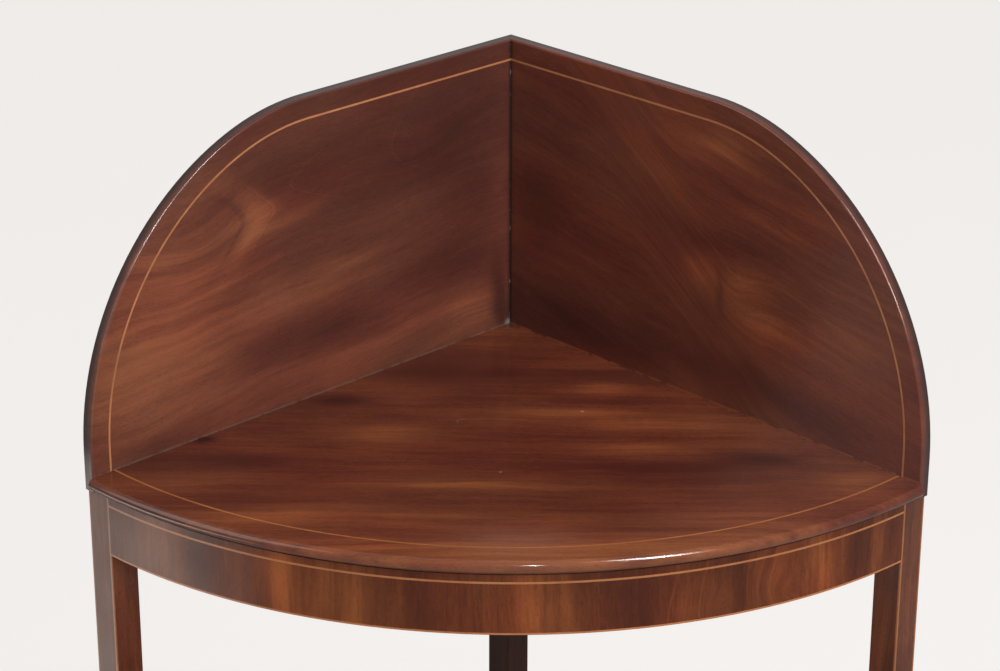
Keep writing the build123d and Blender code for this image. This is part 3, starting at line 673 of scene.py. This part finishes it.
# How far free arrises are rounded over: the usual amount, and the pieces that differ
USUAL_ARRIS = 5e-4
ARRISES = {
    "top_board": 6e-4, "rear_leg": 8e-4, "middle_shelf": 6e-4, "undertier": 1.0e-3,
    "frieze_lower_string": 3e-4, "leg_strings_right": 3e-4, "leg_strings_left": 3e-4,
    "drawer_veneer": 3e-4, "splash_dowels": 0.0, "frieze_veneer": 0.0,
}


def node_meshes():
    """Each node's mesh, welded, and one search tree over all of their faces with its owners."""
    meshes, corners, faces, owners = {}, [], [], []
    for name, node in frame["nodes"].items():
        mesh = bmesh.new()
        mesh.from_mesh(node.data)
        bmesh.ops.remove_doubles(mesh, verts=mesh.verts, dist=WELD)
        base = len(corners)
        mesh.verts.index_update()
        corners += [vert.co.copy() for vert in mesh.verts]
        faces += [[base + vert.index for vert in face.verts] for face in mesh.faces]
        owners += [name] * len(mesh.faces)
        meshes[name] = mesh
    return meshes, BVHTree.FromPolygons(corners, faces), owners


def free_arrises(name, mesh, tree, owners):
    """The sharp outer edges of a piece whose two sides touch no other piece."""
    free = []
    for edge in mesh.edges:
        if len(edge.link_faces) != 2 or not edge.is_convex or edge.calc_face_angle(0.0) < SHARP:
            continue
        middle = (edge.verts[0].co + edge.verts[1].co) / 2
        line = (edge.verts[1].co - edge.verts[0].co).normalized()
        for face in edge.link_faces:
            inward = face.normal.cross(line)
            loop = next(loop for loop in face.loops if loop.edge == edge)
            if loop.vert != edge.verts[0]:
                inward = -inward
            near = tree.find_nearest_range(middle + PROBE_INSET * inward, TOUCH)
            if any(owners[hit[2]] != name for hit in near):
                break
        else:
            free.append(edge)
    return free


def show(name, mesh, material):
    """Put a mesh in the scene as the visual piece for a node."""
    node = frame["nodes"][name]
    for face in mesh.faces:
        face.smooth = True
        face.material_index = 0
    for edge in mesh.edges:
        edge.smooth = len(edge.link_faces) == 2 and edge.calc_face_angle(pi) < SHARP
    data = bpy.data.meshes.new(name + "_piece")
    mesh.to_mesh(data)
    if "custom_normal" in data.attributes:
        data.attributes.remove(data.attributes["custom_normal"])
    data.materials.append(material)
    piece = bpy.data.objects.new(name + "_piece", data)
    bpy.context.scene.collection.objects.link(piece)
    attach(piece, node["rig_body"])
    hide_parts(name)
    return piece


def join_flat_faces(mesh):
    """Make one face of the triangles that lie in one plane."""
    bmesh.ops.dissolve_limit(
        mesh, angle_limit=FLAT, verts=mesh.verts, edges=mesh.edges, delimit={"NORMAL"}
    )


def refine(name, mesh, tree, owners, material):
    """The visual piece for a node: free arrises rounded over and marked worn, curved faces smooth."""
    arris = ARRISES.get(name, USUAL_ARRIS)
    edges = free_arrises(name, mesh, tree, owners) if arris else []
    join_flat_faces(mesh)
    edges = [edge for edge in edges if edge.is_valid]
    worn = mesh.faces.layers.float.new("worn")
    made = bmesh.ops.bevel(
        mesh, geom=edges, offset=arris, offset_type="OFFSET", segments=3, profile=0.5,
        affect="EDGES", clamp_overlap=True,
    )
    for face in made["faces"]:
        face[worn] = 1.0
    level = show(name, mesh, material).modifiers.new("level", "WEIGHTED_NORMAL")
    level.keep_sharp = True


# A knob's turning from the face that it stands on: millimetres above it, and radius
KNOB_TURNING = (
    (0.0, 8.0), (0.5, 8.0), (0.95, 7.75), (1.3, 7.2), (1.45, 6.6), (1.45, 5.9), (1.75, 5.6), (2.1, 5.0),
    (2.6, 4.2), (3.3, 3.6), (4.2, 3.25), (5.2, 3.15), (5.9, 3.3), (6.2, 3.9), (6.5, 4.3), (6.9, 4.3),
    (7.2, 3.9), (7.35, 3.6), (7.6, 4.4), (8.1, 6.0), (8.8, 7.5), (9.5, 8.3), (10.1, 8.5), (10.8, 8.3),
    (11.3, 7.9), (11.5, 7.55), (11.6, 7.2), (11.9, 7.05), (12.5, 6.3), (13.1, 5.1), (13.6, 3.7),
    (13.95, 2.0),
)
# The radius of the shank behind it, in millimetres, and the height that it is drawn for, in metres
SHANK_RADIUS, DRAWN_HEIGHT = 2.4, 0.0141
TURNING_SIDES = 56


def turned_knobs(name, sides, material):
    """Knobs with rose, waist, ring and domed head, where the node's solids stand on the bow.

    sides says which of the node's knobs to make: 1 right, -1 left, or 0 for its only one.
    """
    mesh, up = bmesh.new(), Vector(UP)
    for side in sides:
        corners = [vert.co for vert in frame["nodes"][name].data.vertices]
        corners = [corner for corner in corners if side * corner.x >= 0.0]
        middle = sum(corners, Vector()) / len(corners)
        angle = atan2(middle.x, BOW_Y - middle.y)
        facing, level = Vector((sin(angle), -cos(angle), 0)), Vector((cos(angle), sin(angle), 0))
        axis_point = Vector((0, BOW_Y, middle.z))
        heights = [(corner - axis_point).dot(facing) for corner in corners]
        scale = (max(heights) - BOW_RADIUS) / DRAWN_HEIGHT
        shank = 1000 * (min(heights) - BOW_RADIUS)
        turning = ((shank, SHANK_RADIUS), (0.0, SHANK_RADIUS)) + KNOB_TURNING
        rings = []
        for height, radius in turning:
            centre = axis_point + (BOW_RADIUS + height * scale / 1000) * facing
            ring = []
            for step in range(TURNING_SIDES):
                turn = 2 * pi * step / TURNING_SIDES
                outward = cos(turn) * level + sin(turn) * up
                ring.append(mesh.verts.new(centre + radius / 1000 * outward))
            rings.append(ring)
        for low, high in zip(rings, rings[1:]):
            for a, b, c, d in zip(low, low[1:] + low[:1], high[1:] + high[:1], high):
                mesh.faces.new((a, b, c, d))
        crown = mesh.verts.new(axis_point + max(heights) * facing)
        for a, b in zip(rings[-1], rings[-1][1:] + rings[-1][:1]):
            mesh.faces.new((a, b, crown))
        mesh.faces.new(rings[0][::-1])
    bmesh.ops.recalc_face_normals(mesh, faces=mesh.faces)
    show(name, mesh, material)


# The slot in a screw head, and how far the flat of a head reaches from its middle
SLOT_HALF_WIDTH, SLOT_DEPTH, HEAD_REACH = 6e-4, 9e-4, 0.004
# The angle of the first slot, and how far each next one is turned on
FIRST_TURN, NEXT_TURN = 0.5, 1.1
# A face is the flat of a head when its normal points down by more than this
DOWNWARD = -0.99


def head_faces(mesh, centre, across, reach):
    """The flat faces of the screw head round a centre, no further than reach from its slot."""
    chosen = []
    for face in mesh.faces:
        away = face.calc_center_median() - centre
        if face.normal.z < DOWNWARD and away.length < HEAD_REACH and abs(away.dot(across)) < reach:
            chosen.append(face)
    return chosen


def list_by_place(parts, place):
    """List corners or faces by their places, because cutting leaves them in no fixed order."""
    ordered = sorted(parts, key=lambda part: [round(value, 6) for value in place(part)])
    rank = {part: number for number, part in enumerate(ordered)}
    parts.sort(key=rank.get)


def slotted_screws(name, mesh, material):
    """The screws with a slot cut across each head, each turned its own way."""
    join_flat_faces(mesh)
    centres = [face.calc_center_median() for face in mesh.faces if face.normal.z < DOWNWARD]
    for index, centre in enumerate(centres):
        turn = FIRST_TURN + NEXT_TURN * index
        across = Vector((-sin(turn), cos(turn), 0))
        for side in (-1, 1):
            faces = head_faces(mesh, centre, across, HEAD_REACH)
            parts = [part for face in faces for part in (face, *face.edges, *face.verts)]
            parts = list(dict.fromkeys(parts))
            bmesh.ops.bisect_plane(
                mesh, geom=parts, plane_co=centre + side * SLOT_HALF_WIDTH * across, plane_no=across
            )
        slot = head_faces(mesh, centre, across, SLOT_HALF_WIDTH / 2)
        cut = bmesh.ops.extrude_face_region(mesh, geom=slot)["geom"]
        sunk = [part for part in cut if isinstance(part, bmesh.types.BMVert)]
        bmesh.ops.translate(mesh, vec=(0, 0, SLOT_DEPTH), verts=sunk)
        bmesh.ops.delete(mesh, geom=[face for face in slot if face.is_valid], context="FACES_ONLY")
    list_by_place(mesh.verts, lambda vert: vert.co)
    list_by_place(mesh.faces, lambda face: face.calc_center_median())
    show(name, mesh, material)


meshes, tree, owners = node_meshes()
for material, names in DRESSING.items():
    for name in names:
        if name == "drawer_knob_nut":
            node = frame["nodes"][name]
            node.data.materials.clear()
            node.data.materials.append(material)
        elif name.endswith("screws"):
            slotted_screws(name, meshes[name], material)
        elif name.endswith(("knob", "knobs")):
            turned_knobs(name, (0,) if name == "drawer_knob" else (1, -1), material)
        else:
            refine(name, meshes[name], tree, owners, material)


# Half the floor's width, and how much it glows to the camera alone and to the camera and mirrors
FLOOR_HALF = 14.0
FLOOR_GLOW, MIRRORED_GLOW = 0.42, 0.32
# The floor's colours where it is seen, its colour for the light that it sends back, and its glow's
FLOOR_DARK, FLOOR_LIGHT = (0.200, 0.195, 0.190), (0.222, 0.216, 0.211)
FLOOR_BOUNCE, GLOW_COLOUR = (0.45, 0.44, 0.43), (1.0, 0.968, 0.945, 1.0)


def lay_floor():
    """A wide pale floor under the stand."""
    net = Graph("pale_floor")
    path = net.add("LightPath").outputs
    seen = net.maths("MAXIMUM", path["Is Camera Ray"], path["Is Glossy Ray"])
    seen = net.maths("MAXIMUM", seen, path["Is Transmission Ray"])
    speckle = net.noise(net.place(), scale=3.0, detail=4.0)
    colour = net.blend(seen, FLOOR_BOUNCE, net.tones(speckle, FLOOR_DARK, FLOOR_LIGHT))
    glow = net.plus(net.times(path["Is Camera Ray"], FLOOR_GLOW), net.times(seen, MIRRORED_GLOW))
    material = net.surface(
        Base_Color=colour, Roughness=0.8, Emission_Color=GLOW_COLOUR, Emission_Strength=glow,
    )
    corners = [(x * FLOOR_HALF, y * FLOOR_HALF, 0) for x, y in ((-1, -1), (1, -1), (1, 1), (-1, 1))]
    mesh = bpy.data.meshes.new("floor")
    mesh.from_pydata(corners, [], [(0, 1, 2, 3)])
    mesh.materials.append(material)
    floor = bpy.data.objects.new("floor", mesh)
    bpy.context.scene.collection.objects.link(floor)


def soft_box(name, place, aim, size, radiance, colour=(1.0, 1.0, 1.0), diffuse=True, glossy=True):
    """A rectangular soft light that faces a point and isn't seen itself.

    Without diffuse it only shows as a reflection, and without glossy it never shows as one.
    """
    data = bpy.data.lights.new(name, "AREA")
    data.shape = "RECTANGLE"
    data.size, data.size_y = size
    data.energy = radiance * pi * size[0] * size[1]
    data.color = colour
    lamp = bpy.data.objects.new(name, data)
    lamp.location = place
    lamp.rotation_mode = "QUATERNION"
    lamp.rotation_quaternion = (Vector(aim) - Vector(place)).to_track_quat("-Z", "Y")
    lamp.visible_camera = False
    lamp.visible_diffuse = diffuse
    lamp.visible_glossy = glossy
    bpy.context.scene.collection.objects.link(lamp)
    return lamp


def light_only(lamp, names):
    """Let a lamp light some of the pieces only."""
    lit = bpy.data.collections.new(lamp.name + "_lights")
    for name in names:
        lit.objects.link(bpy.data.objects[name + "_piece"])
    lamp.light_linking.receiver_collection = lit


# How strongly the room lights the stand, and the colour in which the camera sees it
ROOM_LIGHT, ROOM_SEEN = 0.52, (0.86, 0.834, 0.815, 1.0)


def light_scene():
    """A pale room with a large soft light in front on the right and a lamp overhead.

    The windows, the panel and the wall only show in the polish: the tall and the small window on the
    nosing, the panel and the wall on the left of the frieze and on the left leg. The last window
    is for the splashbacks alone, where it shows along the arrises.
    """
    world = bpy.data.worlds.new("pale_room")
    bpy.context.scene.world = world
    world.use_nodes = True
    nodes, links = world.node_tree.nodes, world.node_tree.links
    nodes.clear()
    lit = nodes.new("ShaderNodeBackground")
    lit.inputs["Strength"].default_value = ROOM_LIGHT
    shown = nodes.new("ShaderNodeBackground")
    shown.inputs["Color"].default_value = ROOM_SEEN
    path = nodes.new("ShaderNodeLightPath")
    pick = nodes.new("ShaderNodeMixShader")
    end = nodes.new("ShaderNodeOutputWorld")
    links.new(path.outputs["Is Camera Ray"], pick.inputs[0])
    links.new(lit.outputs[0], pick.inputs[1])
    links.new(shown.outputs[0], pick.inputs[2])
    links.new(pick.outputs[0], end.inputs["Surface"])
    soft_box("front_right", (1.50, -2.61, 2.25), (0.0, 0.0, 0.85), (2.2, 2.2), 5.0, glossy=False)
    soft_box("overhead", (0.50, -0.58, 3.0), (0.08, -0.1, 0.84), (0.6, 0.5), 27.0, glossy=False)
    soft_box("tall_window", (0.90, -1.15, 2.60), (0.12, -0.19, 0.84), (0.29, 0.96), 46.0, diffuse=False)
    soft_box("small_window", (0.18, -1.75, 2.39), (0.02, -0.20, 0.84), (0.045, 0.26), 190.0, diffuse=False)
    panel = soft_box(
        "left_panel", (-0.87, -0.26, 0.42), (-0.27, -0.16, 0.75), (0.70, 0.25), 0.47,
        colour=(1.0, 0.90, 0.82), diffuse=False,
    )
    panel.data.spread = radians(60)
    soft_box(
        "left_wall", (-1.25, -0.50, 1.55), (-0.2, -0.15, 0.84), (1.06, 1.10), 2.2,
        colour=(1.0, 0.93, 0.88), diffuse=False,
    )
    window = soft_box("window", (1.30, -2.70, 2.50), (0.0, 0.0, 1.0), (1.1, 0.8), 40.0, diffuse=False)
    light_only(window, ("splashback_left", "splashback_right"))


place_camera()
lay_floor()
light_scene()
bpy.context.scene.view_settings.view_transform = "Standard"
